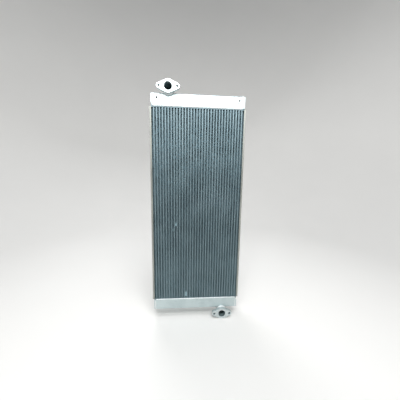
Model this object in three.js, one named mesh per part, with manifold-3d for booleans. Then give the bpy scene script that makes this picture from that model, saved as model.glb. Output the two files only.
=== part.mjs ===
// Hydraulic oil cooler of the bar-and-plate kind, in millimetres.
// X runs across the core, Y from front to back, Z up. The origin is the centre of the
// bounding box: the middle of the core across and up, and a little in front of its mid-plane.
//
// Oil enters one tank through its port, runs through flat upright passages to the other
// tank, and leaves by the port at the opposite corner. Air passes from front to back
// through the folded fins between the passages. Both tanks are the same welded assembly,
// the lower one turned half a turn about Y.

import * as THREE from 'three';
import { mergeVertices } from 'three/addons/utils/BufferGeometryUtils.js';
import Module from 'manifold-3d';

// ---------------------------------------------------------------- driving dimensions

const CLEARANCE = 0.3;           // left between pieces that are brazed or welded together
const CUT_MARGIN = 2;            // how far a cutting shape runs past the piece it cuts

const CORE_DEPTH = 80;
const PASSAGE_COUNT = 32;
const PASSAGE_WIDTH = 4.8;       // two parting sheets and the oil space between them
const PARTING_SHEET = 0.8;
const LONG_BAR_DEPTH = 8;        // solid bar that closes a passage at its front and back
const AIR_ROW_WIDTH = 7.7;
const FIN_HEIGHT = 896;          // height of the finned air rows
const SHORT_BAR_HEIGHT = 12;     // bar that closes an air row at its top and bottom

const FIN_FOLDS = 14;
const FIN_SHEET = 0.6;
const FIN_DEPTH = 78;

const SIDE_PLATE_THICKNESS = 8;
const SIDE_PLATE_OVERRUN = 4;    // past the fins, at each end

const TANK_REACH = 59;           // from the end of the fins to the tank's outer face
const TANK_LIP_START = 5;        // from the end of the fins to the edge of the tank's lip
const TANK_STANDOUT = 3;         // tank's front and back faces past the core's
const TANK_WALL = 6;
const TANK_OUTER_RADIUS = 10;
const TANK_INNER_RADIUS = 5;
const TANK_PORT_HOLE = 40;       // in the tank's wall, under the elbow's foot
const CAP_OUTER_X = 206;
const CAP_THICKNESS = 6.7;
const CAP_TAPER_REACH = 21;      // from the end of the fins to where the tapered corner starts
const CAP_TAPER_EDGE = 0.8;      // thickness left at the tapered corner's edge

const PORT_X = 130;
const PORT_BORE = 34;
const PORT_AXIS_REACH = 79;      // from the end of the fins to the port's axis
const ELBOW_DIAMETER = 48;
const ROUND_SEGMENTS = 40;

const FLANGE_STANDOUT = 20;      // flange face in front of the core's front
const FLANGE_THICKNESS = 14;
const FLANGE_LOBE_RADIUS = 27.5;
const FLANGE_EAR_RADIUS = 11.5;
const FLANGE_BOLT_SPACING = 76;
const FLANGE_BOLT_HOLE = 10.5;

const BOSS_X = 180;
const BOSS_REACH = 37;           // from the end of the fins to the boss's hole
const BOSS_WIDTH = 13;
const BOSS_HEIGHT = 22;
const BOSS_PROUD = 2;
const BOSS_LENGTH = 20;
const BOSS_HOLE = 6.8;           // tapping size of an M8 thread
const BOSS_HOLE_DEPTH = 16;

// ---------------------------------------------------------------- derived dimensions

const PITCH = PASSAGE_WIDTH + AIR_ROW_WIDTH;
const CORE_HALF_WIDTH = ((PASSAGE_COUNT + 1) * PITCH - PASSAGE_WIDTH) / 2;
const CORE_HALF_DEPTH = CORE_DEPTH / 2;
const FIN_TOP = FIN_HEIGHT / 2;
const CORE_TOP = FIN_TOP + SHORT_BAR_HEIGHT;
const CORE_Y = (FLANGE_STANDOUT - TANK_STANDOUT) / 2;   // the core's mid-plane
const TANK_HALF_DEPTH = CORE_HALF_DEPTH + TANK_STANDOUT;
const TANK_HALF_LENGTH = CAP_OUTER_X - CAP_THICKNESS - CLEARANCE;
const TANK_FACE = FIN_TOP + TANK_REACH;
const TANK_LIP = FIN_TOP + TANK_LIP_START;
const TANK_FRONT = CORE_Y - TANK_HALF_DEPTH;
const PORT_Z = FIN_TOP + PORT_AXIS_REACH;
const FLANGE_FRONT = CORE_Y - CORE_HALF_DEPTH - FLANGE_STANDOUT;
const FLANGE_BACK = FLANGE_FRONT + FLANGE_THICKNESS;
const BOSS_Z = FIN_TOP + BOSS_REACH;

// ---------------------------------------------------------------- finishes

const FINISHES = {
  passage: { color: 0x9aa9ad, roughness: 0.45, metalness: 0.9 },
  fin: { color: 0x55676d, roughness: 0.6, metalness: 0.8 },
  side_plate: { color: 0xb4b6b1, roughness: 0.5, metalness: 0.9 },
  tank: { color: 0xd5dcdc, roughness: 0.42, metalness: 0.9 },
  cap: { color: 0xcdd3d3, roughness: 0.48, metalness: 0.9 },
  casting: { color: 0xc4c9c9, roughness: 0.6, metalness: 0.85 },
  machined: { color: 0xe2e6e6, roughness: 0.32, metalness: 0.95 },
};

// ---------------------------------------------------------------- solid helpers

const wasm = await Module();
wasm.setup();

function solidFrom(geometry) {
  const bare = geometry.clone();
  bare.deleteAttribute('normal');
  bare.deleteAttribute('uv');
  const merged = mergeVertices(bare);
  return new wasm.Manifold(new wasm.Mesh({
    numProp: 3,
    vertProperties: new Float32Array(merged.attributes.position.array),
    triVerts: new Uint32Array(merged.index.array),
  }));
}

function geometryFrom(solid) {
  const mesh = solid.getMesh();
  const geometry = new THREE.BufferGeometry();
  geometry.setAttribute('position', new THREE.BufferAttribute(mesh.vertProperties, 3));
  geometry.setIndex(new THREE.BufferAttribute(mesh.triVerts, 1));
  geometry.computeVertexNormals();
  return geometry;
}

/** Cuts every shape in cuts away from base; all are closed geometries. */
function carve(base, cuts) {
  const carved = cuts.reduce((solid, cut) => solid.subtract(solidFrom(cut)), solidFrom(base));
  return geometryFrom(carved);
}

function join(...geometries) {
  const [first, ...rest] = geometries.map(solidFrom);
  return geometryFrom(rest.reduce((solid, next) => solid.add(next), first));
}

function block([x0, x1], [y0, y1], [z0, z1]) {
  const geometry = new THREE.BoxGeometry(x1 - x0, y1 - y0, z1 - z0);
  return geometry.translate((x0 + x1) / 2, (y0 + y1) / 2, (z0 + z1) / 2);
}

function extrude(shape, depth) {
  return new THREE.ExtrudeGeometry(shape, { depth, bevelEnabled: false, curveSegments: 10 });
}

/** The shape's x becomes Y and its y becomes Z. */
function extrudeAlongX(shape, x0, x1) {
  const turn = new THREE.Matrix4().makeBasis(
    new THREE.Vector3(0, 1, 0), new THREE.Vector3(0, 0, 1), new THREE.Vector3(1, 0, 0));
  return extrude(shape, x1 - x0).applyMatrix4(turn).translate(x0, 0, 0);
}

/** The shape's x stays X and its y becomes Z. */
function extrudeAlongY(shape, y0, y1) {
  return extrude(shape, y1 - y0).rotateX(Math.PI / 2).translate(0, y1, 0);
}

function roundAlongY(diameter, x, [y0, y1], z) {
  const radius = diameter / 2;
  const geometry = new THREE.CylinderGeometry(radius, radius, y1 - y0, ROUND_SEGMENTS);
  return geometry.translate(x, (y0 + y1) / 2, z);
}

function roundAlongZ(diameter, x, y, [z0, z1]) {
  const radius = diameter / 2;
  const geometry = new THREE.CylinderGeometry(radius, radius, z1 - z0, ROUND_SEGMENTS);
  return geometry.rotateX(Math.PI / 2).translate(x, y, (z0 + z1) / 2);
}

function ball(diameter, x, y, z) {
  const geometry = new THREE.SphereGeometry(diameter / 2, ROUND_SEGMENTS, ROUND_SEGMENTS / 2);
  return geometry.translate(x, y, z);
}

function part(name, geometry, finish) {
  const mesh = new THREE.Mesh(geometry, new THREE.MeshStandardMaterial(FINISHES[finish]));
  mesh.name = name;
  return mesh;
}

// ---------------------------------------------------------------- core

/** X where an air row starts, counted from 0 at the left. */
function airRowStart(row) {
  return -CORE_HALF_WIDTH + row * PITCH;
}

/** The oil passages, held apart at both ends by the short bars that close the air rows. */
function oilPassageBlock() {
  const depth = [CORE_Y - CORE_HALF_DEPTH, CORE_Y + CORE_HALF_DEPTH];
  const pastDepth = [depth[0] - CUT_MARGIN, depth[1] + CUT_MARGIN];
  const oilDepth = [depth[0] + LONG_BAR_DEPTH, depth[1] - LONG_BAR_DEPTH];
  const pastHeight = [-CORE_TOP - CUT_MARGIN, CORE_TOP + CUT_MARGIN];
  const body = block([-CORE_HALF_WIDTH, CORE_HALF_WIDTH], depth, [-CORE_TOP, CORE_TOP]);
  const cuts = [];
  for (let row = 0; row <= PASSAGE_COUNT; row += 1) {
    const start = airRowStart(row);
    const left = row === 0 ? start - CUT_MARGIN : start;
    const right = start + AIR_ROW_WIDTH + (row === PASSAGE_COUNT ? CUT_MARGIN : 0);
    cuts.push(block([left, right], pastDepth, [-FIN_TOP, FIN_TOP]));
  }
  for (let passage = 0; passage < PASSAGE_COUNT; passage += 1) {
    const start = airRowStart(passage) + AIR_ROW_WIDTH;
    const oil = [start + PARTING_SHEET, start + PASSAGE_WIDTH - PARTING_SHEET];
    cuts.push(block(oil, oilDepth, pastHeight));
  }
  return part('oil_passage_block', carve(body, cuts), 'passage');
}

/** One folded fin: a sheet that goes from one passage to the next and back, all the way up. */
function finOutline() {
  const reach = AIR_ROW_WIDTH / 2 - CLEARANCE;
  const halfHeight = FIN_TOP - CLEARANCE;
  const crests = FIN_FOLDS * 2;
  const rising = [];
  for (let crest = 0; crest <= crests; crest += 1) {
    const x = crest % 2 === 0 ? -reach : reach - FIN_SHEET;
    rising.push(new THREE.Vector2(x, -halfHeight + (2 * halfHeight * crest) / crests));
  }
  const falling = rising.map((point) => new THREE.Vector2(point.x + FIN_SHEET, point.y));
  return new THREE.Shape([...rising.reverse(), ...falling]);
}

function airFins() {
  const shape = finOutline();
  const fins = [];
  for (let row = 0; row <= PASSAGE_COUNT; row += 1) {
    const geometry = extrudeAlongY(shape, -FIN_DEPTH / 2, FIN_DEPTH / 2);
    const fin = part(`air_fin_${String(row + 1).padStart(2, '0')}`, geometry, 'fin');
    fin.position.set(airRowStart(row) + AIR_ROW_WIDTH / 2, CORE_Y, 0);
    fins.push(fin);
  }
  return fins;
}

function sidePlate(name, side) {
  const halfHeight = FIN_TOP + SIDE_PLATE_OVERRUN;
  const geometry = block(
    [-SIDE_PLATE_THICKNESS / 2, SIDE_PLATE_THICKNESS / 2],
    [-CORE_HALF_DEPTH, CORE_HALF_DEPTH], [-halfHeight, halfHeight]);
  const plate = part(name, geometry, 'side_plate');
  const middle = CORE_HALF_WIDTH + CLEARANCE + SIDE_PLATE_THICKNESS / 2;
  plate.position.set(side * middle, CORE_Y, 0);
  return plate;
}

// ---------------------------------------------------------------- tank assembly
// Built at the top of the core, with the port on the left.

/** Corner arcs of the tank's section, across Y, from the right shoulder to the left one. */
function shoulders(path, halfDepth, top, radius, backwards = false) {
  const [near, far] = backwards ? [-halfDepth + radius, halfDepth - radius]
    : [halfDepth - radius, -halfDepth + radius];
  const [from, to] = backwards ? [Math.PI, 0] : [0, Math.PI];
  path.absarc(near, top - radius, radius, from, Math.PI / 2, backwards);
  path.absarc(far, top - radius, radius, Math.PI / 2, to, backwards);
}

/** A channel, open towards the core, with a rebate in each lip for the core's end. */
function tankSection() {
  const mouth = CORE_HALF_DEPTH + CLEARANCE;
  const inner = TANK_HALF_DEPTH - TANK_WALL;
  const rebate = CORE_TOP + CLEARANCE;
  const section = new THREE.Shape();
  section.moveTo(mouth, TANK_LIP);
  section.lineTo(TANK_HALF_DEPTH, TANK_LIP);
  shoulders(section, TANK_HALF_DEPTH, TANK_FACE, TANK_OUTER_RADIUS);
  section.lineTo(-TANK_HALF_DEPTH, TANK_LIP);
  section.lineTo(-mouth, TANK_LIP);
  section.lineTo(-mouth, rebate);
  section.lineTo(-inner, rebate);
  shoulders(section, inner, TANK_FACE - TANK_WALL, TANK_INNER_RADIUS, true);
  section.lineTo(inner, rebate);
  section.lineTo(mouth, rebate);
  section.closePath();
  return section;
}

function bossOutline(margin = 0) {
  const radius = BOSS_WIDTH / 2 + margin;
  const straight = (BOSS_HEIGHT - BOSS_WIDTH) / 2;
  const outline = new THREE.Shape();
  outline.absarc(0, straight, radius, 0, Math.PI, false);
  outline.absarc(0, -straight, radius, Math.PI, 2 * Math.PI, false);
  outline.closePath();
  return outline;
}

function tank(name, hasBosses) {
  const body = extrudeAlongX(tankSection(), -TANK_HALF_LENGTH, TANK_HALF_LENGTH);
  body.translate(0, CORE_Y, 0);
  const wall = [TANK_FACE - TANK_WALL - CUT_MARGIN, TANK_FACE + CUT_MARGIN];
  const cuts = [roundAlongZ(TANK_PORT_HOLE, -PORT_X, CORE_Y, wall)];
  if (hasBosses) {
    for (const x of [-BOSS_X, BOSS_X]) {
      const hole = extrudeAlongY(bossOutline(CLEARANCE),
        TANK_FRONT - CUT_MARGIN, TANK_FRONT + TANK_WALL + CUT_MARGIN);
      cuts.push(hole.translate(x, 0, BOSS_Z));
    }
  }
  return part(name, carve(body, cuts), 'tank');
}

/** End plate of the tank, cut out to sit over the core's corner; side is -1 at the left. */
function endCap(name, side, tapered) {
  const outline = new THREE.Shape();
  outline.moveTo(-TANK_HALF_DEPTH, TANK_LIP);
  outline.lineTo(TANK_HALF_DEPTH, TANK_LIP);
  shoulders(outline, TANK_HALF_DEPTH, TANK_FACE, TANK_OUTER_RADIUS);
  outline.closePath();
  const innerX = TANK_HALF_LENGTH + CLEARANCE;
  const plate = extrudeAlongX(outline, innerX, CAP_OUTER_X);
  plate.translate(0, CORE_Y, 0);
  const taper = new THREE.Shape([
    new THREE.Vector2(innerX + CAP_TAPER_EDGE, TANK_LIP),
    new THREE.Vector2(innerX + CAP_TAPER_EDGE, TANK_LIP - CUT_MARGIN),
    new THREE.Vector2(CAP_OUTER_X + CUT_MARGIN, TANK_LIP - CUT_MARGIN),
    new THREE.Vector2(CAP_OUTER_X + CUT_MARGIN, FIN_TOP + CAP_TAPER_REACH),
    new THREE.Vector2(CAP_OUTER_X, FIN_TOP + CAP_TAPER_REACH),
  ]);
  const reach = TANK_HALF_DEPTH + CUT_MARGIN;
  const mouth = CORE_HALF_DEPTH + CLEARANCE;
  const cuts = [block([innerX - CUT_MARGIN, CORE_HALF_WIDTH + CLEARANCE],
    [CORE_Y - mouth, CORE_Y + mouth], [TANK_LIP - CUT_MARGIN, CORE_TOP + CLEARANCE])];
  if (tapered) cuts.push(extrudeAlongY(taper, CORE_Y - reach, CORE_Y + reach));
  const cap = part(name, carve(plate, cuts), 'cap');
  if (side > 0) return cap;
  cap.rotation.z = Math.PI;
  cap.position.y = 2 * CORE_Y;
  return cap;
}

/** Cast elbow: forward from the flange's back, then down through a flat foot into the tank. */
function portElbow(name) {
  const foot = TANK_FACE + CLEARANCE;
  const start = FLANGE_BACK + CLEARANCE;
  const outside = join(
    roundAlongY(ELBOW_DIAMETER, -PORT_X, [start, CORE_Y], PORT_Z),
    ball(ELBOW_DIAMETER, -PORT_X, CORE_Y, PORT_Z),
    roundAlongZ(ELBOW_DIAMETER, -PORT_X, CORE_Y, [foot - CUT_MARGIN, PORT_Z]));
  const passage = join(
    roundAlongY(PORT_BORE, -PORT_X, [start - CUT_MARGIN, CORE_Y], PORT_Z),
    ball(PORT_BORE, -PORT_X, CORE_Y, PORT_Z),
    roundAlongZ(PORT_BORE, -PORT_X, CORE_Y, [foot - 2 * CUT_MARGIN, PORT_Z]));
  const belowFoot = block(
    [-PORT_X - ELBOW_DIAMETER, -PORT_X + ELBOW_DIAMETER],
    [start - ELBOW_DIAMETER, CORE_Y + ELBOW_DIAMETER], [foot - ELBOW_DIAMETER, foot]);
  return part(name, carve(outside, [passage, belowFoot]), 'casting');
}

/** Oval plate with the port's bore in its middle and a bolt hole in each ear. */
function portFlange(name) {
  const spread = FLANGE_BOLT_SPACING / 2;
  const tangent = Math.acos((FLANGE_LOBE_RADIUS - FLANGE_EAR_RADIUS) / spread);
  const outline = new THREE.Shape();
  outline.absarc(spread, 0, FLANGE_EAR_RADIUS, -tangent, tangent, false);
  outline.absarc(0, 0, FLANGE_LOBE_RADIUS, tangent, Math.PI - tangent, false);
  outline.absarc(-spread, 0, FLANGE_EAR_RADIUS, Math.PI - tangent, Math.PI + tangent, false);
  outline.absarc(0, 0, FLANGE_LOBE_RADIUS, Math.PI + tangent, 2 * Math.PI - tangent, false);
  outline.closePath();
  const depth = [-CUT_MARGIN, FLANGE_THICKNESS + CUT_MARGIN];
  const plate = carve(extrudeAlongY(outline, 0, FLANGE_THICKNESS), [
    roundAlongY(PORT_BORE, 0, depth, 0),
    roundAlongY(FLANGE_BOLT_HOLE, -spread, depth, 0),
    roundAlongY(FLANGE_BOLT_HOLE, spread, depth, 0),
  ]);
  const flange = part(name, plate, 'machined');
  flange.position.set(-PORT_X, FLANGE_FRONT, PORT_Z);
  return flange;
}

/** Tapped block let into the tank's front wall, with its blind hole open at the front. */
function mountingBoss(name, x) {
  const body = extrudeAlongY(bossOutline(), 0, BOSS_LENGTH);
  const hole = roundAlongY(BOSS_HOLE, 0, [-CUT_MARGIN, BOSS_HOLE_DEPTH], 0);
  const boss = part(name, carve(body, [hole]), 'machined');
  boss.position.set(x, TANK_FRONT - BOSS_PROUD, BOSS_Z);
  return boss;
}

function tankAssembly(prefix, hasBosses) {
  const assembly = new THREE.Group();
  assembly.add(
    tank(`${prefix}_tank`, hasBosses),
    endCap(`${prefix}_tank_port_end_cap`, -1, true),
    endCap(`${prefix}_tank_far_end_cap`, 1, false),
    portElbow(`${prefix}_port_elbow`),
    portFlange(`${prefix}_port_flange`));
  return assembly;
}

// ---------------------------------------------------------------- the whole cooler

const cooler = new THREE.Group();
cooler.add(oilPassageBlock(), ...airFins());
cooler.add(sidePlate('side_plate_left', -1), sidePlate('side_plate_right', 1));

const upperEnd = tankAssembly('upper', true);
upperEnd.add(mountingBoss('mounting_boss_left', -BOSS_X));
upperEnd.add(mountingBoss('mounting_boss_right', BOSS_X));
cooler.add(upperEnd);

const lowerEnd = tankAssembly('lower', false);
lowerEnd.rotation.y = Math.PI;
cooler.add(lowerEnd);

export default cooler;
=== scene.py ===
"""Looks of the hydraulic oil cooler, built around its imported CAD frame. Metres, Z up."""

import math

import bmesh
import bpy
import numpy as np
from mathutils import Matrix, Vector


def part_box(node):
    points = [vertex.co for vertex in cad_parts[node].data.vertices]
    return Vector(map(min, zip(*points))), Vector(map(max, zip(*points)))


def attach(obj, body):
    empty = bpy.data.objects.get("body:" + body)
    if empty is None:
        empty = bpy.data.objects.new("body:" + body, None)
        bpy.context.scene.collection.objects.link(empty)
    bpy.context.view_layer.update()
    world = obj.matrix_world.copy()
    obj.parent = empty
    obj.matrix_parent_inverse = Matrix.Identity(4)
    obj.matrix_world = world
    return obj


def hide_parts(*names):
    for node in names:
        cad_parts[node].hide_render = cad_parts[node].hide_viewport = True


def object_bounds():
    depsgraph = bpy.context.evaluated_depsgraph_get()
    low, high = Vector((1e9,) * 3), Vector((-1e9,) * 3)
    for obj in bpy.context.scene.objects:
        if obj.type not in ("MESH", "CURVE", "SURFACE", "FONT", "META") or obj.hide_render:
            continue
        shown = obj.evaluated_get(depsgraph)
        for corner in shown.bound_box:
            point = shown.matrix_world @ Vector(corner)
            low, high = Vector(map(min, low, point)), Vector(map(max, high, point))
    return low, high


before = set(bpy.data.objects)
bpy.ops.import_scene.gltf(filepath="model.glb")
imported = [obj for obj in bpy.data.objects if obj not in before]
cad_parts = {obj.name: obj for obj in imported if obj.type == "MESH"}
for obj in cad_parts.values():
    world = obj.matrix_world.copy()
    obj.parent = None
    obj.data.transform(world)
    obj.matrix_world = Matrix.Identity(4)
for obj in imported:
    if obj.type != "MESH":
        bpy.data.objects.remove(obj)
CAD_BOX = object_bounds()
MM = 0.001
chance = np.random.default_rng(20)

# ------------------------------------------------------------------ sizes from the frame

FIN_NODES = sorted(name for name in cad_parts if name.startswith("air_fin_"))
CORE_LOW, CORE_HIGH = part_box("oil_passage_block")
FIN_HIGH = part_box(FIN_NODES[0])[1]
TANK_LOW, TANK_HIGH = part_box("upper_tank")
ELBOW_LOW, ELBOW_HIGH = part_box("upper_port_elbow")
FLANGE_LOW, FLANGE_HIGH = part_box("upper_port_flange")

JOINT_GAP = 0.3 * MM                    # what the CAD leaves between joined pieces
CORE_FRONT, CORE_BACK = CORE_LOW.y, CORE_HIGH.y
CORE_MIDDLE = (CORE_FRONT + CORE_BACK) / 2
FIN_END = FIN_HIGH.z + JOINT_GAP        # where the air rows stop and the short bars start
AIR_ROWS = [(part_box(n)[0].x - JOINT_GAP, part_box(n)[1].x + JOINT_GAP) for n in FIN_NODES]
PASSAGES = [(left[1], right[0]) for left, right in zip(AIR_ROWS, AIR_ROWS[1:])]
PORT_X = (FLANGE_LOW.x + FLANGE_HIGH.x) / 2
PORT_Z = (FLANGE_LOW.z + FLANGE_HIGH.z) / 2
PORT_BORE = 34 * MM
TANK_PORT_HOLE = 40 * MM
BEAD_ROOM = 0.8 * MM                    # keeps the beads on the tanks' backs inside the CAD box
TANK_BACK = TANK_HIGH.y - BEAD_ROOM

# ------------------------------------------------------------------ mesh helpers


def add_object(name, vertices, faces, location=(0, 0, 0)):
    mesh = bpy.data.meshes.new(name)
    mesh.from_pydata([tuple(v) for v in vertices], [], [tuple(f) for f in faces])
    mesh.validate()
    mesh.update()
    made = bpy.data.objects.new(name, mesh)
    made.location = location
    bpy.context.collection.objects.link(made)
    return made


def smooth(piece, degrees=35):
    """Smooth shading, with edges sharper than this kept crisp."""
    piece.data.shade_smooth()
    piece.data.set_sharp_from_angle(angle=math.radians(degrees))
    return piece


def bevel(piece, width, segments=2, degrees=40):
    modifier = piece.modifiers.new("soft_edges", "BEVEL")
    modifier.width = width
    modifier.segments = segments
    modifier.limit_method = "ANGLE"
    modifier.angle_limit = math.radians(degrees)
    modifier.use_clamp_overlap = True
    return piece


def bake_modifiers(piece):
    """Puts the result of the piece's modifiers into its mesh."""
    bpy.context.view_layer.update()
    shaped = piece.evaluated_get(bpy.context.evaluated_depsgraph_get())
    mesh = bpy.data.meshes.new_from_object(shaped)
    piece.modifiers.clear()
    piece.data = mesh
    return piece


def boolean(piece, operation, *others):
    """Joins or cuts the piece with the others, which are used up."""
    for other in others:
        modifier = piece.modifiers.new(operation, "BOOLEAN")
        modifier.operation = operation
        modifier.object = other
        modifier.solver = "EXACT"
    bake_modifiers(piece)
    for other in others:
        bpy.data.objects.remove(other, do_unlink=True)
    return piece


def prism(outline, start, end, axis):
    """Closed solid from an outline of (a, b) points run along an axis.

    Along X an outline holds (y, z), along Y it holds (x, z) and along Z (x, y).
    """
    def point(a, b, along):
        return {"X": (along, a, b), "Y": (a, along, b), "Z": (a, b, along)}[axis]

    count = len(outline)
    vertices = [point(a, b, start) for a, b in outline] + [point(a, b, end) for a, b in outline]
    sides = [(i, (i + 1) % count, (i + 1) % count + count, i + count) for i in range(count)]
    faces = sides + [tuple(range(count))[::-1], tuple(range(count, 2 * count))]
    return vertices, faces


def facing_out(piece):
    work = bmesh.new()
    work.from_mesh(piece.data)
    bmesh.ops.recalc_face_normals(work, faces=work.faces)
    work.to_mesh(piece.data)
    work.free()
    return piece


def add_prism(name, outline, start, end, axis):
    return facing_out(add_object(name, *prism(outline, start, end, axis)))


def arc(centre, radius, start, end, steps):
    """Points on an arc in degrees, both ends included."""
    turns = np.radians(np.linspace(start, end, steps + 1))
    return [(centre[0] + radius * math.cos(t), centre[1] + radius * math.sin(t)) for t in turns]


def ring_faces(rings, steps):
    """Quads that join each ring of points to the next one."""
    return [(k * steps + i, k * steps + (i + 1) % steps, (k + 1) * steps + (i + 1) % steps,
             (k + 1) * steps + i) for k in range(rings - 1) for i in range(steps)]


def cylinder(name, radius, start, end, axis, centre, steps=72):
    """Round solid; centre gives its two other coordinates, as prism does."""
    return add_prism(name, arc(centre, radius, 0, 360 - 360 / steps, steps - 1), start, end, axis)


def turned(piece):
    """The piece's mesh given half a turn about Y, which takes the upper end to the lower."""
    piece.data.transform(Matrix.Rotation(math.pi, 4, "Y") @ piece.matrix_basis)
    piece.matrix_basis = Matrix.Identity(4)
    return piece


def finish_piece(piece, material, slot, *nodes):
    """Gives the piece its finish, ties it to the root body and hides the frame's parts that it stands
    for.
    """
    piece.data.materials.clear()
    piece.data.materials.append(material)
    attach(piece, "root")
    if nodes:
        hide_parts(*nodes)
    return piece


# ------------------------------------------------------------------ materials

LOW_SHADE_FULL_BELOW = -0.15                # height under which the core's painted shade is at its most


class Finish:
    """A material with short ways to add its nodes. Patterns sit on the piece's own space."""

    def __init__(self, name, metallic, roughness):
        self.material = bpy.data.materials.new(name)
        self.material.use_nodes = True
        self.nodes = self.material.node_tree.nodes
        self.links = self.material.node_tree.links
        self.shader = self.nodes["Principled BSDF"]
        self.shader.inputs["Metallic"].default_value = metallic
        self.shader.inputs["Roughness"].default_value = roughness
        self.space = self.nodes.new("ShaderNodeTexCoord").outputs["Object"]
        self.normal = None

    def noise(self, size, stretch=(1, 1, 1), detail=4, roughness=0.55, distortion=0.0):
        """Noise with features about size metres across, drawn out by stretch."""
        mapping = self.nodes.new("ShaderNodeMapping")
        mapping.inputs["Scale"].default_value = [1 / (size * s) for s in stretch]
        texture = self.nodes.new("ShaderNodeTexNoise")
        texture.inputs["Scale"].default_value = 1
        texture.inputs["Detail"].default_value = detail
        texture.inputs["Roughness"].default_value = roughness
        texture.inputs["Distortion"].default_value = distortion
        self.links.new(self.space, mapping.inputs["Vector"])
        self.links.new(mapping.outputs["Vector"], texture.inputs["Vector"])
        return texture.outputs["Fac"]

    def steps(self, value, start, end, low=0, high=1):
        """The value spread from low at start to high at end, smoothly and clamped."""
        node = self.nodes.new("ShaderNodeMapRange")
        node.interpolation_type = "SMOOTHSTEP"
        if start > end:
            start, end, low, high = end, start, high, low
        node.inputs["From Min"].default_value = start
        node.inputs["From Max"].default_value = end
        node.inputs["To Min"].default_value = low
        node.inputs["To Max"].default_value = high
        self.links.new(value, node.inputs["Value"])
        return node.outputs["Result"]

    def times(self, a, b):
        node = self.nodes.new("ShaderNodeMath")
        node.operation = "MULTIPLY"
        for socket, value in zip(node.inputs, (a, b)):
            if isinstance(value, (int, float)):
                socket.default_value = value
            else:
                self.links.new(value, socket)
        return node.outputs[0]

    def mix(self, factor, a, b):
        """Colour a where the factor is 0 and b where it is 1."""
        node = self.nodes.new("ShaderNodeMix")
        node.data_type = "RGBA"
        self.links.new(factor, node.inputs["Factor"])
        for socket, value in zip((node.inputs[6], node.inputs[7]), (a, b)):
            if isinstance(value, tuple):
                socket.default_value = (*value, 1)
            else:
                self.links.new(value, socket)
        return node.outputs[2]

    def colour(self, value):
        self.links.new(value, self.shader.inputs["Base Color"])

    def roughness(self, value):
        self.links.new(value, self.shader.inputs["Roughness"])

    def bump(self, value, depth, strength=1.0):
        """Relief of this depth in metres, over any relief added before."""
        node = self.nodes.new("ShaderNodeBump")
        node.inputs["Strength"].default_value = strength
        node.inputs["Distance"].default_value = depth
        self.links.new(value, node.inputs["Height"])
        if self.normal is not None:
            self.links.new(self.normal, node.inputs["Normal"])
        self.normal = node.outputs["Normal"]
        self.links.new(self.normal, self.shader.inputs["Normal"])

    def painted_low_shade(self, base, unshaded_above, most, tone):
        """The colour with painted shade of this tone over it, from none up high to most low down,
        standing in for the light from above falling off down the core.
        """
        apart = self.nodes.new("ShaderNodeSeparateXYZ")
        self.links.new(self.space, apart.inputs["Vector"])
        # painted shade: the mask follows height alone, not any dirt
        low_shade = self.steps(apart.outputs["Z"], unshaded_above, LOW_SHADE_FULL_BELOW)
        return self.mix(self.times(low_shade, most), base, tone)

    def square_to_y(self):
        """1 on faces that look along Y, 0 on the rims between them."""
        apart = self.nodes.new("ShaderNodeSeparateXYZ")
        surface = self.nodes.new("ShaderNodeNewGeometry")
        self.links.new(surface.outputs["Normal"], apart.inputs["Vector"])
        size = self.nodes.new("ShaderNodeMath")
        size.operation = "ABSOLUTE"
        self.links.new(apart.outputs["Y"], size.inputs[0])
        return self.steps(size.outputs[0], 0.8, 0.97)


def tank_finish():
    """Extruded sheet: faint lines along its length, handling marks and cloudy etching."""
    made = Finish("tank_aluminium", 0.82, 0.42)
    cloud = made.noise(0.06, detail=5, distortion=0.4)
    lines = made.noise(0.0012, stretch=(60, 1, 1), detail=3)
    stains = made.steps(made.noise(0.018, stretch=(1.6, 1, 1), detail=7), 0.56, 0.72)
    base = made.mix(made.steps(cloud, 0.3, 0.7), (0.50, 0.59, 0.605), (0.585, 0.67, 0.68))
    base = made.mix(made.times(stains, 0.35), base, (0.40, 0.48, 0.50))
    base = made.mix(made.times(made.steps(lines, 0.45, 0.8), 0.25), base, (0.43, 0.51, 0.53))
    made.colour(base)
    made.roughness(made.steps(cloud, 0.25, 0.75, 0.34, 0.48))
    made.bump(lines, 0.05 * MM, 0.5)
    made.bump(made.noise(0.05, detail=2), 0.5 * MM, 0.4)
    return made.material


def side_plate_finish():
    """Rolled plate with a mill grain up its length and scuffs from handling."""
    made = Finish("side_plate_aluminium", 0.85, 0.45)
    grain = made.noise(0.0009, stretch=(1, 1, 70), detail=3)
    cloud = made.noise(0.05, stretch=(1, 1, 2.5), detail=6)
    scuffs = made.steps(made.noise(0.006, stretch=(1, 1, 5), detail=8), 0.6, 0.68)
    base = made.mix(made.steps(cloud, 0.3, 0.7), (0.30, 0.315, 0.295), (0.405, 0.42, 0.39))
    base = made.mix(made.times(scuffs, 0.5), base, (0.52, 0.53, 0.50))
    made.colour(base)
    made.roughness(made.steps(cloud, 0.3, 0.7, 0.46, 0.62))
    made.bump(grain, 0.06 * MM, 0.5)
    return made.material


def passage_finish():
    """Brazed bars and sheets: grey-blue, with braze runs, dull patches and painted shade that darkens
    them towards the bottom.
    """
    made = Finish("brazed_aluminium", 0.85, 0.42)
    cloud = made.noise(0.045, stretch=(1, 1, 3), detail=6)
    runs = made.steps(made.noise(0.004, stretch=(1, 1, 9), detail=5), 0.52, 0.70)
    base = made.mix(made.steps(cloud, 0.3, 0.7), (0.22, 0.305, 0.345), (0.305, 0.40, 0.44))
    base = made.mix(made.times(runs, 0.3), base, (0.42, 0.51, 0.55))
    # painted shade: darker towards the bottom, for the light from above falling off
    made.colour(made.painted_low_shade(base, 0.40, 0.38, (0.10, 0.14, 0.155)))
    made.roughness(made.steps(cloud, 0.25, 0.75, 0.46, 0.62))
    made.bump(made.noise(0.003, stretch=(1, 1, 4), detail=4), 0.12 * MM, 0.6)
    return made.material


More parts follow.
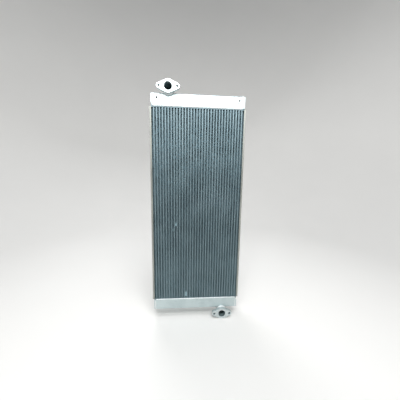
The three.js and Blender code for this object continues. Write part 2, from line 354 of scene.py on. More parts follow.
def fin_finish():
    """Thin sheet, dull and a little dusty, with painted shade that darkens it towards the bottom."""
    made = Finish("fin_aluminium", 0.8, 0.5)
    dust = made.noise(0.09, detail=6)
    base = made.mix(made.steps(dust, 0.35, 0.7), (0.42, 0.62, 0.69), (0.54, 0.755, 0.83))
    # painted shade: darker towards the bottom, for the light from above falling off
    made.colour(made.painted_low_shade(base, 0.42, 0.62, (0.095, 0.15, 0.17)))
    made.roughness(made.steps(dust, 0.3, 0.7, 0.42, 0.62))
    return made.material


def cast_finish():
    """Sand-cast surface: fine pits over a soft unevenness."""
    made = Finish("cast_aluminium", 0.8, 0.5)
    sand = made.noise(0.0011, detail=5, roughness=0.7)
    cloud = made.noise(0.012, detail=5)
    base = made.mix(made.steps(cloud, 0.3, 0.7), (0.66, 0.69, 0.695), (0.82, 0.84, 0.845))
    base = made.mix(made.times(made.steps(sand, 0.55, 0.75), 0.4), base, (0.50, 0.53, 0.54))
    made.colour(base)
    made.roughness(made.steps(sand, 0.3, 0.7, 0.42, 0.6))
    made.bump(sand, 0.25 * MM, 0.7)
    made.bump(cloud, 0.5 * MM, 0.5)
    return made.material


def machined_finish():
    """Turned face, with fine rings about the piece's own Y axis, over a cast rim."""
    made = Finish("machined_aluminium", 0.85, 0.34)
    apart = made.nodes.new("ShaderNodeSeparateXYZ")
    made.links.new(made.space, apart.inputs["Vector"])
    flat = made.nodes.new("ShaderNodeCombineXYZ")
    made.links.new(apart.outputs["X"], flat.inputs["X"])
    made.links.new(apart.outputs["Z"], flat.inputs["Y"])
    length = made.nodes.new("ShaderNodeVectorMath")
    length.operation = "LENGTH"
    made.links.new(flat.outputs["Vector"], length.inputs[0])
    rings = made.nodes.new("ShaderNodeTexNoise")
    rings.noise_dimensions = "1D"
    rings.inputs["Scale"].default_value = 1 / (0.5 * MM)
    rings.inputs["Detail"].default_value = 1
    made.links.new(length.outputs["Value"], rings.inputs["W"])
    face = made.square_to_y()
    cloud = made.noise(0.015, detail=5)
    nicks = made.steps(made.noise(0.0028, detail=7), 0.64, 0.70)
    sand = made.noise(0.0011, detail=5, roughness=0.7)
    rim = made.mix(made.steps(cloud, 0.3, 0.7), (0.47, 0.53, 0.54), (0.60, 0.655, 0.66))
    turned_face = made.mix(made.steps(cloud, 0.3, 0.7), (0.53, 0.595, 0.605), (0.64, 0.69, 0.695))
    base = made.mix(face, rim, turned_face)
    base = made.mix(made.times(nicks, 0.4), base, (0.48, 0.53, 0.54))
    made.colour(base)
    made.roughness(made.steps(face, 0, 1, 0.52, 0.34))
    made.bump(made.times(rings.outputs["Fac"], face), 0.03 * MM, 0.5)
    made.bump(sand, 0.12 * MM, 0.4)
    return made.material


def bore_shade_finish():
    """Inside of the ports and bolt holes: dull metal darkened as painted shade of the holes, with a
    patchy film of oil over it.
    """
    made = Finish("oily_bore_painted_shade", 0.65, 0.5)
    film = made.noise(0.010, detail=6, distortion=0.6)
    marks = made.noise(0.0012, detail=4)
    # dark base colours: painted shade inside the holes, patched by an oil film
    base = made.mix(made.steps(film, 0.35, 0.7), (0.20, 0.28, 0.30), (0.33, 0.43, 0.45))
    base = made.mix(made.times(made.steps(marks, 0.5, 0.75), 0.4), base, (0.12, 0.16, 0.17))
    made.colour(base)
    made.roughness(made.steps(film, 0.3, 0.7, 0.36, 0.56))
    made.bump(marks, 0.1 * MM, 0.5)
    return made.material


def weld_finish():
    """Bright ripples with a thin grey oxide in the hollows."""
    made = Finish("weld_aluminium", 0.7, 0.5)
    grains = made.noise(0.0014, detail=4)
    soot = made.steps(made.noise(0.012, detail=6), 0.5, 0.7)
    base = made.mix(made.steps(grains, 0.3, 0.7), (0.70, 0.745, 0.755), (0.83, 0.86, 0.87))
    base = made.mix(made.times(soot, 0.45), base, (0.52, 0.54, 0.54))
    made.colour(base)
    made.roughness(made.steps(grains, 0.3, 0.7, 0.42, 0.60))
    made.bump(grains, 0.08 * MM, 0.5)
    return made.material


TANK = tank_finish()
SIDE_PLATE = side_plate_finish()
PASSAGE = passage_finish()
FIN = fin_finish()
CAST = cast_finish()
MACHINED = machined_finish()
BORE_SHADE = bore_shade_finish()
WELD = weld_finish()

# ------------------------------------------------------------------ core

PARTING_SHEET = 0.8 * MM
LONG_BAR_DEPTH = 8 * MM
BAR_RECESS = 0.35 * MM                  # bars sit a little back from the sheets' edges
BRAZE_FILLET = 0.5 * MM


def bar_outline(left, right, front, back):
    """Section of a bar from front to back, hollowed a little between its brazed edges."""
    middle = (left + right) / 2
    face = [
        (left, front), (left + BRAZE_FILLET * 0.4, front + BAR_RECESS * 0.7),
        (left + BRAZE_FILLET, front + BAR_RECESS), (middle, front + BAR_RECESS * 0.6),
        (right - BRAZE_FILLET, front + BAR_RECESS),
        (right - BRAZE_FILLET * 0.4, front + BAR_RECESS * 0.7), (right, front)]
    return face + [(right, back), (left, back)]


def sheet_outline(left, right):
    """Section of a parting sheet, its front and back edges rounded."""
    radius = (right - left) / 2
    middle = (left + right) / 2
    return (arc((middle, CORE_FRONT + radius), radius, 180, 360, 6)
            + arc((middle, CORE_BACK - radius), radius, 0, 180, 6))


def mirrored_in_depth(outline):
    """The same section seen from the back, about the core's mid-plane."""
    return [(x, 2 * CORE_MIDDLE - y) for x, y in outline]


def gather(prisms):
    """Vertices and faces of several closed solids as one list each."""
    vertices, faces = [], []
    for more_vertices, more_faces in prisms:
        base = len(vertices)
        vertices += more_vertices
        faces += [tuple(base + i for i in face) for face in more_faces]
    return vertices, faces


def passage(number, left, right):
    """Two parting sheets with a long bar between them at the front and at the back."""
    inner_left, inner_right = left + PARTING_SHEET, right - PARTING_SHEET
    front_bar = bar_outline(inner_left, inner_right, CORE_FRONT + 0.1 * MM,
                            CORE_FRONT + LONG_BAR_DEPTH)
    outlines = [sheet_outline(left, inner_left), sheet_outline(inner_right, right),
                front_bar, mirrored_in_depth(front_bar)]
    solids = [prism(outline, CORE_LOW.z, CORE_HIGH.z, "Z") for outline in outlines]
    made = facing_out(add_object(f"oil_passage_{number:02d}", *gather(solids)))
    finish_piece(smooth(made), PASSAGE, "brazed_passages", "oil_passage_block")


def short_bars(name, start, end):
    """The bars that close the air rows at one end of the core."""
    solids = []
    for left, right in AIR_ROWS:
        outline = bar_outline(left, right, CORE_FRONT + 0.1 * MM, CORE_MIDDLE)
        outline = outline[:7] + mirrored_in_depth(outline[:7])[::-1]
        solids.append(prism(outline, start, end, "Z"))
    made = facing_out(add_object(name, *gather(solids)))
    finish_piece(smooth(made), PASSAGE, "brazed_passages", "oil_passage_block")


FOLD_PITCH = 5.0 * MM                   # one fold out and back
FOLD_CREST = 1.5 * MM                   # flat stretch brazed to a passage
FOIL = 0.2 * MM
HERRINGBONE_STEP = 9.7 * MM
HERRINGBONE_RISE = 3.0 * MM
LOOSE_EDGE = 1.6 * MM                   # front edge that bends over when knocked
FOLD_UNEVENNESS = 0.12 * MM
STRAY_SHARE, STRAY_BEND = 0.004, 0.3    # single edges bent away from the knocked patches
# Knocked patches: share of the width from the left, share of the height from the top,
# half-width and half-height in metres, and how far the edges are bent over.
KNOCKS = [(0.255, 0.578, 0.007, 0.010, 0.55), (0.235, 0.606, 0.007, 0.011, 0.50),
          (0.370, 0.975, 0.009, 0.013, 0.80), (0.720, 0.330, 0.005, 0.008, 0.35)]


def fold_path(half_width, bottom, top):
    """(x, z) corners of the folded sheet's middle line, from bottom to top."""
    leg = FOLD_PITCH / 2 - FOLD_CREST
    points, z, side = [(-half_width, bottom)], bottom, -1
    while z + leg + FOLD_CREST < top:
        side = -side
        points += [(side * half_width, z + leg), (side * half_width, z + leg + FOLD_CREST)]
        z += leg + FOLD_CREST
    return np.array(points)


def offset_path(points, distance):
    """The path moved sideways by distance, with mitred corners."""
    steps = np.diff(points, axis=0)
    steps /= np.linalg.norm(steps, axis=1)[:, None]
    normals = np.stack([-steps[:, 1], steps[:, 0]], axis=1)
    before = np.vstack([normals[:1], normals])
    after = np.vstack([normals, normals[-1:]])
    mitre = (before + after) / (1 + (before * after).sum(axis=1))[:, None]
    return points + mitre * distance


def knock_strength(x, z):
    """How strongly the front edges at a point are bent over, from 0 to 1."""
    across = (x - CORE_LOW.x) / (CORE_HIGH.x - CORE_LOW.x)
    down = (FIN_END - z) / (2 * FIN_END)
    total = np.zeros_like(z)
    for at, depth, half_width, half_height, most in KNOCKS:
        side = (across - at) * (CORE_HIGH.x - CORE_LOW.x) / half_width
        fall = (down - depth) * 2 * FIN_END / half_height
        total = np.maximum(total, most * np.clip(1.3 - side ** 2 - fall ** 2, 0, 1))
    return total


def folded_fin(node):
    """One air row's sheet: folded between the passages and herringboned from front to back."""
    low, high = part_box(node)
    centre = (low.x + high.x) / 2
    path = fold_path((high.x - low.x) / 2 - FOIL / 2, low.z + FOIL, high.z - FOIL)
    sides = [offset_path(path, FOIL / 2), offset_path(path, -FOIL / 2)]
    depths = [low.y, low.y + LOOSE_EDGE]
    depths += list(np.arange(low.y + HERRINGBONE_STEP, high.y, HERRINGBONE_STEP))
    waves = [HERRINGBONE_RISE * (0.5 - abs((y - low.y) / HERRINGBONE_STEP % 2 - 1))
             for y in depths]
    count, stations = len(path), len(depths)
    uneven = chance.normal(0, FOLD_UNEVENNESS, count)
    bent = knock_strength(np.full(count, centre), path[:, 1])
    bent = bent * chance.uniform(0.55, 1.0, count)
    bent = bent + (chance.random(count) < STRAY_SHARE) * STRAY_BEND
    limit = high.z - FOIL
    grid = np.zeros((2, count, stations, 3))
    for s, side in enumerate(sides):
        for j, (y, wave) in enumerate(zip(depths, waves)):
            droop = bent * LOOSE_EDGE if j == 0 else 0
            z = side[:, 1] + wave + uneven - droop
            grid[s, :, j, 0] = centre + side[:, 0]
            grid[s, :, j, 1] = y + (bent * LOOSE_EDGE * 0.55 if j == 0 else 0)
            grid[s, :, j, 2] = np.clip(z, -limit, limit)
    index = np.arange(grid[..., 0].size).reshape(2, count, stations)
    a, b = index
    quads = [
        np.stack([a[:-1, :-1], a[1:, :-1], a[1:, 1:], a[:-1, 1:]], -1).reshape(-1, 4),
        np.stack([b[:-1, :-1], b[:-1, 1:], b[1:, 1:], b[1:, :-1]], -1).reshape(-1, 4),
        np.stack([a[:-1, 0], b[:-1, 0], b[1:, 0], a[1:, 0]], -1),
        np.stack([a[:-1, -1], a[1:, -1], b[1:, -1], b[:-1, -1]], -1),
        np.stack([a[0, :-1], a[0, 1:], b[0, 1:], b[0, :-1]], -1),
        np.stack([a[-1, :-1], b[-1, :-1], b[-1, 1:], a[-1, 1:]], -1)]
    name = node.replace("air_fin", "folded_fin")
    made = add_object(name, grid.reshape(-1, 3), np.vstack(quads).tolist())
    finish_piece(made, FIN, "air_fins", node)


SIDE_PLATE_CORNER = 2.5 * MM


def side_plate(node):
    """Rolled plate with rounded corners, brazed over the outermost air row."""
    low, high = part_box(node)
    radius = SIDE_PLATE_CORNER
    outline = []
    for y, z, start in ((high.y - radius, high.z - radius, 0), (low.y + radius, high.z - radius, 90),
                        (low.y + radius, low.z + radius, 180), (high.y - radius, low.z + radius, 270)):
        outline += arc((y, z), radius, start, start + 90, 6)
    made = add_prism(f"{node}_rolled", outline, low.x, high.x, "X")
    finish_piece(smooth(bevel(made, 0.7 * MM)), SIDE_PLATE, "side_plates", node)


def build_core():
    for number, (left, right) in enumerate(PASSAGES, start=1):
        passage(number, left, right)
    short_bars("upper_short_bars", FIN_END, CORE_HIGH.z)
    short_bars("lower_short_bars", CORE_LOW.z, -FIN_END)
    for node in FIN_NODES:
        folded_fin(node)
    side_plate("side_plate_left")
    side_plate("side_plate_right")


build_core()

# ------------------------------------------------------------------ tanks and end caps
# Everything on an end of the core is shaped at the top; the lower end is the same, turned.

TANK_WALL = 6 * MM
TANK_CORNER = 10 * MM
LIP_REBATE = 7.3 * MM
TAPER_TOP = 21 * MM                     # from the end of the fins to where a cap's taper starts
TAPER_EDGE = 0.8 * MM


def shoulder(front, back, top, radius, steps=14):
    """The section's top from the back corner to the front one, as (y, z) points."""
    return (arc((back - radius, top - radius), radius, 0, 90, steps)
            + arc((front + radius, top - radius), radius, 90, 180, steps))


def tank_shell(end):
    node = f"{end}_tank"
    mouth_front, mouth_back = CORE_FRONT - JOINT_GAP, CORE_BACK + JOINT_GAP
    rebate = TANK_LOW.z + LIP_REBATE
    outside = [(TANK_BACK, TANK_LOW.z)] + shoulder(TANK_LOW.y, TANK_BACK, TANK_HIGH.z, TANK_CORNER)
    outside += [(TANK_LOW.y, TANK_LOW.z), (mouth_front, TANK_LOW.z), (mouth_front, rebate)]
    inner_front, inner_back = TANK_LOW.y + TANK_WALL, TANK_BACK - TANK_WALL
    inside = shoulder(inner_front, inner_back, TANK_HIGH.z - TANK_WALL, TANK_CORNER / 2)[::-1]
    inside = [(inner_front, rebate)] + inside + [(inner_back, rebate)]
    outline = outside + inside + [(mouth_back, rebate), (mouth_back, TANK_LOW.z)]
    shell = add_prism(f"{node}_shell", outline, TANK_LOW.x, TANK_HIGH.x, "X")
    cutters = [cylinder("port_hole", TANK_PORT_HOLE / 2, TANK_HIGH.z - 2 * TANK_WALL,
                        TANK_HIGH.z + TANK_WALL, "Z", (PORT_X, CORE_MIDDLE))]
    if end == "upper":
        for boss in ("mounting_boss_left", "mounting_boss_right"):
            outline = boss_outline(boss, JOINT_GAP)
            cutters.append(add_prism("boss_hole", outline, TANK_LOW.y - TANK_WALL,
                                     TANK_LOW.y + 2 * TANK_WALL, "Y"))
    boolean(shell, "DIFFERENCE", *cutters)
    if end == "lower":
        turned(shell)
    finish_piece(smooth(bevel(shell, 0.4 * MM)), TANK, "tanks", node)


def end_cap(end, which):
    """Plate over the tank's open side; the one by the port is tapered towards the core."""
    node = f"{end}_tank_{which}_end_cap"
    low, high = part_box(f"upper_tank_{which}_end_cap")
    back = high.y - BEAD_ROOM
    outline = [(back, low.z)] + shoulder(low.y, back, high.z, TANK_CORNER) + [(low.y, low.z)]
    cap = add_prism(f"{node}_plate", outline, low.x, high.x, "X")
    reach = CORE_HIGH.x + JOINT_GAP
    seat = [(-reach, low.z - MM), (reach, low.z - MM), (reach, CORE_HIGH.z + JOINT_GAP),
            (-reach, CORE_HIGH.z + JOINT_GAP)]
    cutters = [add_prism("seat", seat, CORE_FRONT - JOINT_GAP, CORE_BACK + JOINT_GAP, "Y")]
    if which == "port":
        start = FIN_END + TAPER_TOP
        wedge = [(low.x - 5 * MM, low.z - MM), (high.x - TAPER_EDGE, low.z - MM),
                 (high.x - TAPER_EDGE, low.z), (low.x, start), (low.x - 5 * MM, start)]
        cutters.append(add_prism("taper", wedge, low.y - MM, high.y + MM, "Y"))
    boolean(cap, "DIFFERENCE", *cutters)
    if end == "lower":
        turned(cap)
    finish_piece(smooth(bevel(cap, 0.9 * MM, 3)), TANK, "tanks", node)


# ------------------------------------------------------------------ mounting bosses

BOSS_HOLE_RADIUS = 3.4 * MM
BOSS_HOLE_DEPTH = 16 * MM
THREAD_PITCH = 1.25 * MM
THREAD_DEPTH = 0.6 * MM


def boss_outline(node, margin=0.0):
    low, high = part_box(node)
    radius = (high.x - low.x) / 2
    x, z = (low.x + high.x) / 2, (low.z + high.z) / 2
    straight = (high.z - low.z) / 2 - radius
    return (arc((x, z + straight), radius + margin, 0, 180, 24)
            + arc((x, z - straight), radius + margin, 180, 360, 24))


def thread_cutter(x, z, start, depth):
    """A tapped hole's hollow: ridged rings with a countersunk mouth and a drill's point."""
    radii = [(-MM, 1.30), (0.0, 1.25), (1.2 * MM, 1.0)]
    y = 1.2 * MM
    while y + THREAD_PITCH < depth - 2 * MM:
        radii += [(y + THREAD_PITCH * 0.5, 1.0 + THREAD_DEPTH / BOSS_HOLE_RADIUS),
                  (y + THREAD_PITCH, 1.0)]
        y += THREAD_PITCH
    radii += [(depth - 2 * MM, 1.0), (depth, 0.05)]
    steps = 40
    turns = np.arange(steps) * 2 * math.pi / steps
    vertices = [(x + BOSS_HOLE_RADIUS * r * math.cos(t), start + along,
                 z + BOSS_HOLE_RADIUS * r * math.sin(t)) for along, r in radii for t in turns]
    last = (len(radii) - 1) * steps
    faces = ring_faces(len(radii), steps)
    faces += [tuple(range(steps)), tuple(range(last, last + steps))]
    return facing_out(add_object("thread", vertices, faces))


def mounting_boss(node):
    low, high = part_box(node)
    x, z = (low.x + high.x) / 2, (low.z + high.z) / 2
    made = add_prism(f"{node}_tapped", boss_outline(node), low.y, high.y, "Y")
    boolean(made, "DIFFERENCE", thread_cutter(x, z, low.y, BOSS_HOLE_DEPTH))
    centre_on(made, (x, low.y, z))
    finish_piece(smooth(bevel(made, 0.6 * MM, 2, 60)), MACHINED, "machined_fittings", node)


def centre_on(piece, point):
    """Moves the piece's origin to a point, so that a turned finish runs round it."""
    piece.data.transform(Matrix.Translation(-Vector(point)))
    piece.location = point
    return piece


# ------------------------------------------------------------------ ports

ELBOW_RADIUS = (ELBOW_HIGH.x - ELBOW_LOW.x) / 2
FLANGE_LOBE = (FLANGE_HIGH.z - FLANGE_LOW.z) / 2
FLANGE_EAR = 11.5 * MM
BOLT_REACH = (FLANGE_HIGH.x - FLANGE_LOW.x) / 2 - FLANGE_EAR
BOLT_HOLE = 10.5 * MM
CASTING_SKIN = 0.4 * MM                 # room for the parting line inside the CAD's elbow
CUT_ROOM = 0.1                          # half-size of a cutter that clears all below a plane


def ball(name, radius, centre):
    work = bmesh.new()
    bmesh.ops.create_uvsphere(work, u_segments=64, v_segments=32, radius=radius)
    mesh = bpy.data.meshes.new(name)
    work.to_mesh(mesh)
    work.free()
    mesh.transform(Matrix.Translation(centre))
    made = bpy.data.objects.new(name, mesh)
    bpy.context.collection.objects.link(made)
    return made


def elbow_hollow_or_body(radius, front, foot):
    """A pipe's outline that runs back from the flange and turns down into the tank."""
    body = cylinder("leg", radius, front, CORE_MIDDLE, "Y", (PORT_X, PORT_Z))
    corner = ball("corner", radius, (PORT_X, CORE_MIDDLE, PORT_Z))
    down = cylinder("down", radius, foot, PORT_Z, "Z", (PORT_X, CORE_MIDDLE))
    return boolean(body, "UNION", corner, down)


def paint_hole_shade(piece, inside):
    """Gives the faces whose middle and normal pass the test the finish of the holes, dark with painted
    shade.
    """
    piece.data.materials.append(BORE_SHADE)
    for face in piece.data.polygons:
        if inside(face.center, face.normal):
            face.material_index = 1


def in_elbow_hollow(point):
    """Tells whether a point of the upper elbow is on the wall of its hollow."""
    reach = PORT_BORE / 2 + 2 * MM
    leg = point.y < CORE_MIDDLE and math.hypot(point.x - PORT_X, point.z - PORT_Z) < reach
    down = point.z < PORT_Z and math.hypot(point.x - PORT_X, point.y - CORE_MIDDLE) < reach
    corner = math.dist(point, (PORT_X, CORE_MIDDLE, PORT_Z)) < reach
    return leg or down or corner


def port_elbow(end):
    """Casting with soft corners and a thin parting line round its middle."""
    node = f"{end}_port_elbow"
    radius, floor = ELBOW_RADIUS - CASTING_SKIN, ELBOW_LOW.z
    body = elbow_hollow_or_body(radius, ELBOW_LOW.y, floor)
    foot = cylinder("foot", radius, floor, floor + 4 * MM, "Z", (PORT_X, CORE_MIDDLE))
    hollow = elbow_hollow_or_body(PORT_BORE / 2, ELBOW_LOW.y - MM, floor - 5 * MM)
    left, right = PORT_X - CUT_ROOM, PORT_X + CUT_ROOM
    outline = [(left, floor - CUT_ROOM), (right, floor - CUT_ROOM), (right, floor), (left, floor)]
    below = add_prism("below", outline, -CUT_ROOM, CUT_ROOM, "Y")
    boolean(body, "UNION", foot)
    boolean(body, "DIFFERENCE", hollow, below)
    remesh = body.modifiers.new("cast", "REMESH")
    remesh.mode = "VOXEL"
    remesh.voxel_size = 0.9 * MM
    soften = body.modifiers.new("soften", "SMOOTH")
    soften.iterations = 5
    bake_modifiers(body)
    add_parting_line(body, CASTING_SKIN)
    body.name = f"{node}_casting"
    if end == "lower":
        turned(body)
    finish_piece(smooth(body, 60), CAST, "castings", node)
    way = -1 if end == "lower" else 1
    # the hollow's walls get the bore finish, dark with painted shade
    paint_hole_shade(body, lambda p, normal: in_elbow_hollow(Vector((way * p.x, p.y, way * p.z))))


def add_parting_line(body, height):
    """Raises a thin line on the casting's outside, where the mould's halves met."""
    body.data.update()
    for vertex in body.data.vertices:
        across = abs(vertex.co.x - PORT_X)
        outside = math.hypot(vertex.co.x - PORT_X, vertex.co.z - PORT_Z) > ELBOW_RADIUS * 0.85
        behind = vertex.co.y > CORE_MIDDLE + ELBOW_RADIUS * 0.85
        if across < 1.4 * MM and (outside or behind):
            vertex.co += vertex.normal * height * (1 - across / (1.4 * MM))


def flange_outline():
    """Oval plate: a round lobe in the middle with straight tangents to a smaller ear each side."""
    tangent = math.degrees(math.acos((FLANGE_LOBE - FLANGE_EAR) / BOLT_REACH))
    centre, right, left = (0, 0), (BOLT_REACH, 0), (-BOLT_REACH, 0)
    return (arc(right, FLANGE_EAR, -tangent, tangent, 28)
            + arc(centre, FLANGE_LOBE, tangent, 180 - tangent, 24)
            + arc(left, FLANGE_EAR, 180 - tangent, 180 + tangent, 28)
            + arc(centre, FLANGE_LOBE, 180 + tangent, 360 - tangent, 24))


def port_flange(end):
    """Plate shaped about its own centre, so that the turned finish runs round the bore."""
    node = f"{end}_port_flange"
    low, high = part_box(node)
    thickness = high.y - low.y
    plate = add_prism(f"{node}_plate", flange_outline(), 0, thickness, "Y")
    past = (-MM, thickness + MM)
    cutters = [cylinder("bore", PORT_BORE / 2, *past, "Y", (0, 0), 96)]
    for side in (-1, 1):
        cutters.append(cylinder("bolt", BOLT_HOLE / 2, *past, "Y", (side * BOLT_REACH, 0), 48))
    boolean(plate, "DIFFERENCE", *cutters)
    plate.location = ((low.x + high.x) / 2, low.y, (low.z + high.z) / 2)
    finish_piece(smooth(bevel(plate, 0.9 * MM, 3)), MACHINED, "machined_fittings", node)
    holes = [(0, PORT_BORE / 2), (BOLT_REACH, BOLT_HOLE / 2), (-BOLT_REACH, BOLT_HOLE / 2)]
    # bore and bolt-hole walls get the bore finish, dark with painted shade
    paint_hole_shade(plate, lambda p, normal: abs(normal.y) < 0.3 and any(
        math.hypot(p.x - x, p.z) < radius + 0.2 * MM for x, radius in holes))


# ------------------------------------------------------------------ weld beads

RIPPLE = 2.6 * MM
STEPS_PER_RIPPLE = 6


def along(points, step, closed=False):
    """Points at even steps along a run of straight stretches."""
    points = np.array(points + points[:1] if closed else points, float)
    lengths = np.concatenate([[0], np.cumsum(np.linalg.norm(np.diff(points, axis=0), axis=1))])
    count = max(4, round(lengths[-1] / step))
    at = np.linspace(0, lengths[-1], count + 1)[:count if closed else count + 1]
    return np.stack([np.interp(at, lengths, points[:, k]) for k in range(3)], axis=1)


def weld(name, points, outward, width, height, closed=False, lower=False):
    """A rippled bead on a path. outward gives the way it bulges, one for all or per point."""
    step = RIPPLE / STEPS_PER_RIPPLE
    path = along(points, step, closed)
    count = len(path)
    if closed:
        ahead = np.roll(path, -1, axis=0) - np.roll(path, 1, axis=0)
    else:
        ahead = np.gradient(path, axis=0)
    ahead /= np.linalg.norm(ahead, axis=1)[:, None]
    bulge = np.array([outward(p) if callable(outward) else outward for p in path], float)
    bulge -= ahead * (bulge * ahead).sum(axis=1)[:, None]
    bulge /= np.linalg.norm(bulge, axis=1)[:, None]
    side = np.cross(ahead, bulge)
    distance = np.arange(count) * step + np.cumsum(chance.normal(0, 0.02 * step, count))
    phase = distance / RIPPLE % 1
    wander = np.interp(np.arange(count), np.arange(0, count + 40, 40),
                       chance.normal(0, 1, len(np.arange(0, count + 40, 40))))
    scallop = 0.62 + 0.38 * np.sqrt(1 - (1 - phase) ** 2)
    rise = height * scallop * (1 + 0.08 * wander)
    spread = width / 2 * (0.93 + 0.07 * scallop) * (1 + 0.06 * wander)
    if not closed:
        ease = np.clip(np.minimum(np.arange(count), np.arange(count)[::-1]) / 8, 0.15, 1)
        rise, spread = rise * np.sqrt(ease), spread * np.sqrt(ease)
    turns = np.linspace(0, math.pi, 9)
    ring = []
    for t in turns:
        lag = -0.35 * width * math.cos(t) ** 2
        ring.append(path + side * (spread * math.cos(t))[:, None]
                    + bulge * (rise * math.sin(t))[:, None] + ahead * lag)
    ring.append(path - bulge * height * 0.35)
    rows = len(ring)
    vertices = np.stack(ring, axis=1).reshape(-1, 3)
    vertices[:, 1] = np.minimum(vertices[:, 1], TANK_HIGH.y)    # ground flat at the back
    last = count if closed else count - 1
    faces = [(i * rows + k, i * rows + (k + 1) % rows, (i + 1) % count * rows + (k + 1) % rows,
              (i + 1) % count * rows + k) for i in range(last) for k in range(rows)]
    if not closed:
        faces += [tuple(range(rows)), tuple(range((count - 1) * rows, count * rows))]
    made = facing_out(add_object(name, vertices, faces))
    if lower:
        turned(made)
    finish_piece(smooth(made, 80), WELD, "tanks")


def ring_points(radius, height, steps=48):
    """Points of a level circle round the elbow's foot."""
    return [(x, y, height) for x, y in
            arc((PORT_X, CORE_MIDDLE), radius, 0, 360 - 360 / steps, steps - 1)]


def tank_welds(end):
    lower = end == "lower"
    middle_y = (TANK_LOW.y + TANK_BACK) / 2
    middle_z = (TANK_LOW.z + TANK_HIGH.z) / 2
    lip = TANK_LOW.z - 0.2 * MM
    left, right = TANK_LOW.x + MM, TANK_HIGH.x - MM
    for where, y, way in (("front", CORE_FRONT - 0.6 * MM, -1), ("back", CORE_BACK + 0.6 * MM, 1)):
        weld(f"{end}_tank_{where}_weld", [(left, y, lip), (right, y, lip)],
             (0, way * 0.75, -0.66), 4.6 * MM, 2.1 * MM, lower=lower)
    for which, x in (("port", TANK_LOW.x), ("far", TANK_HIGH.x)):
        section = [(TANK_BACK, TANK_LOW.z + 4 * MM)]
        section += shoulder(TANK_LOW.y, TANK_BACK, TANK_HIGH.z, TANK_CORNER)
        section += [(TANK_LOW.y, TANK_LOW.z + 4 * MM)]
        # the seam lies in a shallow groove, so the bead stays low
        sunk = [(x, middle_y + (y - middle_y) * 0.992, z - 0.3 * MM) for y, z in section]
        weld(f"{end}_tank_{which}_cap_weld", sunk,
             lambda p: (0, p[1] - middle_y, max(0.0, (p[2] - middle_z) * 1.8)),
             4.6 * MM, 1.6 * MM, lower=lower)
    weld(f"{end}_elbow_foot_weld", ring_points(ELBOW_RADIUS, TANK_HIGH.z + 0.2 * MM),
         lambda p: (p[0] - PORT_X, p[1] - CORE_MIDDLE, ELBOW_RADIUS * 0.8),
         5.5 * MM, 2.2 * MM, closed=True, lower=lower)
    neck = [(x, FLANGE_HIGH.y + 0.4 * MM, z) for x, z in
            arc((PORT_X, PORT_Z), ELBOW_RADIUS, 0, 352.5, 47)]
    weld(f"{end}_flange_neck_weld", neck,
         lambda p: (p[0] - PORT_X, ELBOW_RADIUS * 0.8, p[2] - PORT_Z),
         4.5 * MM, 1.8 * MM, closed=True, lower=lower)
    # from the back of the flange's lobe to the tank's front, where the two overlap
    seat = [(x, TANK_LOW.y - 1.0 * MM, z) for x, z in
            arc((PORT_X, PORT_Z), FLANGE_LOBE + 0.6 * MM, 226, 314, 40)]
    weld(f"{end}_flange_seat_weld", seat,
         lambda p: (p[0] - PORT_X, -FLANGE_LOBE * 0.7, p[2] - PORT_Z),
         6.6 * MM, 2.6 * MM, lower=lower)


def boss_weld(node):
    low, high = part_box(node)
    x, z = (low.x + high.x) / 2, (low.z + high.z) / 2
    outline = [(a, TANK_LOW.y - 0.1 * MM, b) for a, b in boss_outline(node, 0.6 * MM)]
    weld(f"{node}_weld", outline, lambda p: ((p[0] - x) * 0.06, -0.001, (p[2] - z) * 0.06),
         3.0 * MM, 1.0 * MM, closed=True)


for end in ("upper", "lower"):
    tank_shell(end)
    end_cap(end, "port")
    end_cap(end, "far")
    port_elbow(end)
    port_flange(end)
    tank_welds(end)
for boss in ("mounting_boss_left", "mounting_boss_right"):
    mounting_boss(boss)
    boss_weld(boss)

# ------------------------------------------------------------------ stage

BOWL_RADIUS = 3.2
BOWL_HEIGHT = 4.6
COVE_RADIUS = 1.4


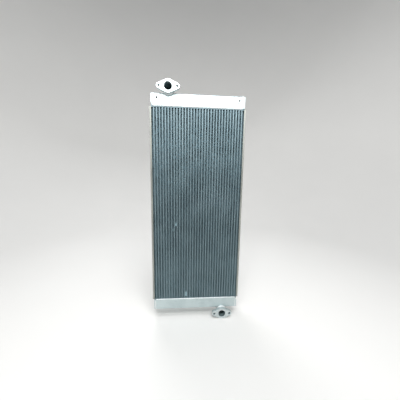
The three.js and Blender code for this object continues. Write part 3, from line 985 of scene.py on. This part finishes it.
def backdrop():
    """Pale round floor that curves up into a wall all the way round."""
    floor = CAD_BOX[0].z
    profile = [(r, floor) for r in (0.6, 1.2)]
    profile += arc((BOWL_RADIUS - COVE_RADIUS, floor + COVE_RADIUS), COVE_RADIUS, -90, 0, 20)
    profile.append((BOWL_RADIUS, floor + BOWL_HEIGHT))
    steps = 96
    turns = np.arange(steps) * 2 * math.pi / steps
    vertices = [(r * math.cos(t), r * math.sin(t), z) for r, z in profile for t in turns]
    faces = [tuple(range(steps))] + ring_faces(len(profile), steps)
    sheet = smooth(add_object("backdrop", vertices, faces), 60)
    made = Finish("pale_backdrop", 0.0, 0.85)
    cloud = made.noise(0.8, detail=3)
    made.colour(made.mix(cloud, (0.80, 0.795, 0.785), (0.84, 0.835, 0.825)))
    sheet.data.materials.append(made.material)


def area_light(name, place, target, size, power, colour=(1, 1, 1)):
    light = bpy.data.lights.new(name, "AREA")
    light.shape = "RECTANGLE"
    light.size, light.size_y = size
    light.energy = power
    light.color = colour
    holder = bpy.data.objects.new(name, light)
    holder.location = place
    way = Vector(target) - Vector(place)
    holder.rotation_euler = way.to_track_quat("-Z", "Y").to_euler()
    holder.visible_camera = False
    bpy.context.collection.objects.link(holder)


def studio():
    area_light("key", (0.08, -1.4, 1.45), (0, 0, 0.5), (1.6, 0.6), 35, (1.0, 0.995, 0.98))
    area_light("above", (0.1, -0.7, 2.2), (0, 0, 0), (1.2, 0.8), 22, (0.97, 0.99, 1.0))
    area_light("rear", (-0.6, 1.7, 1.9), (0, 0, 0), (1.4, 1.0), 26)
    world = bpy.data.worlds.new("soft_room")
    world.use_nodes = True
    sky = world.node_tree.nodes["Background"]
    sky.inputs["Color"].default_value = (0.93, 0.97, 1.0, 1)
    sky.inputs["Strength"].default_value = 0.27
    bpy.context.scene.world = world
    bpy.context.scene.view_settings.view_transform = "Standard"


def camera():
    """Stands close in front of the core, a little left of its middle and above it."""
    lens = bpy.data.cameras.new("view")
    lens.sensor_width = 36
    lens.lens = 16.65
    holder = bpy.data.objects.new("view", lens)
    bpy.context.collection.objects.link(holder)
    heading, tilt, roll = (math.radians(angle) for angle in (4.2277, 7.7337, 0.9009))
    turn = (Matrix.Rotation(-heading, 4, "Z") @ Matrix.Rotation(math.pi / 2 - tilt, 4, "X")
            @ Matrix.Rotation(roll, 4, "Z"))
    place = Vector((-0.0503, CORE_FRONT - 0.8534, 0.1609))
    holder.matrix_world = Matrix.Translation(place) @ turn
    bpy.context.scene.camera = holder


backdrop()
studio()
camera()
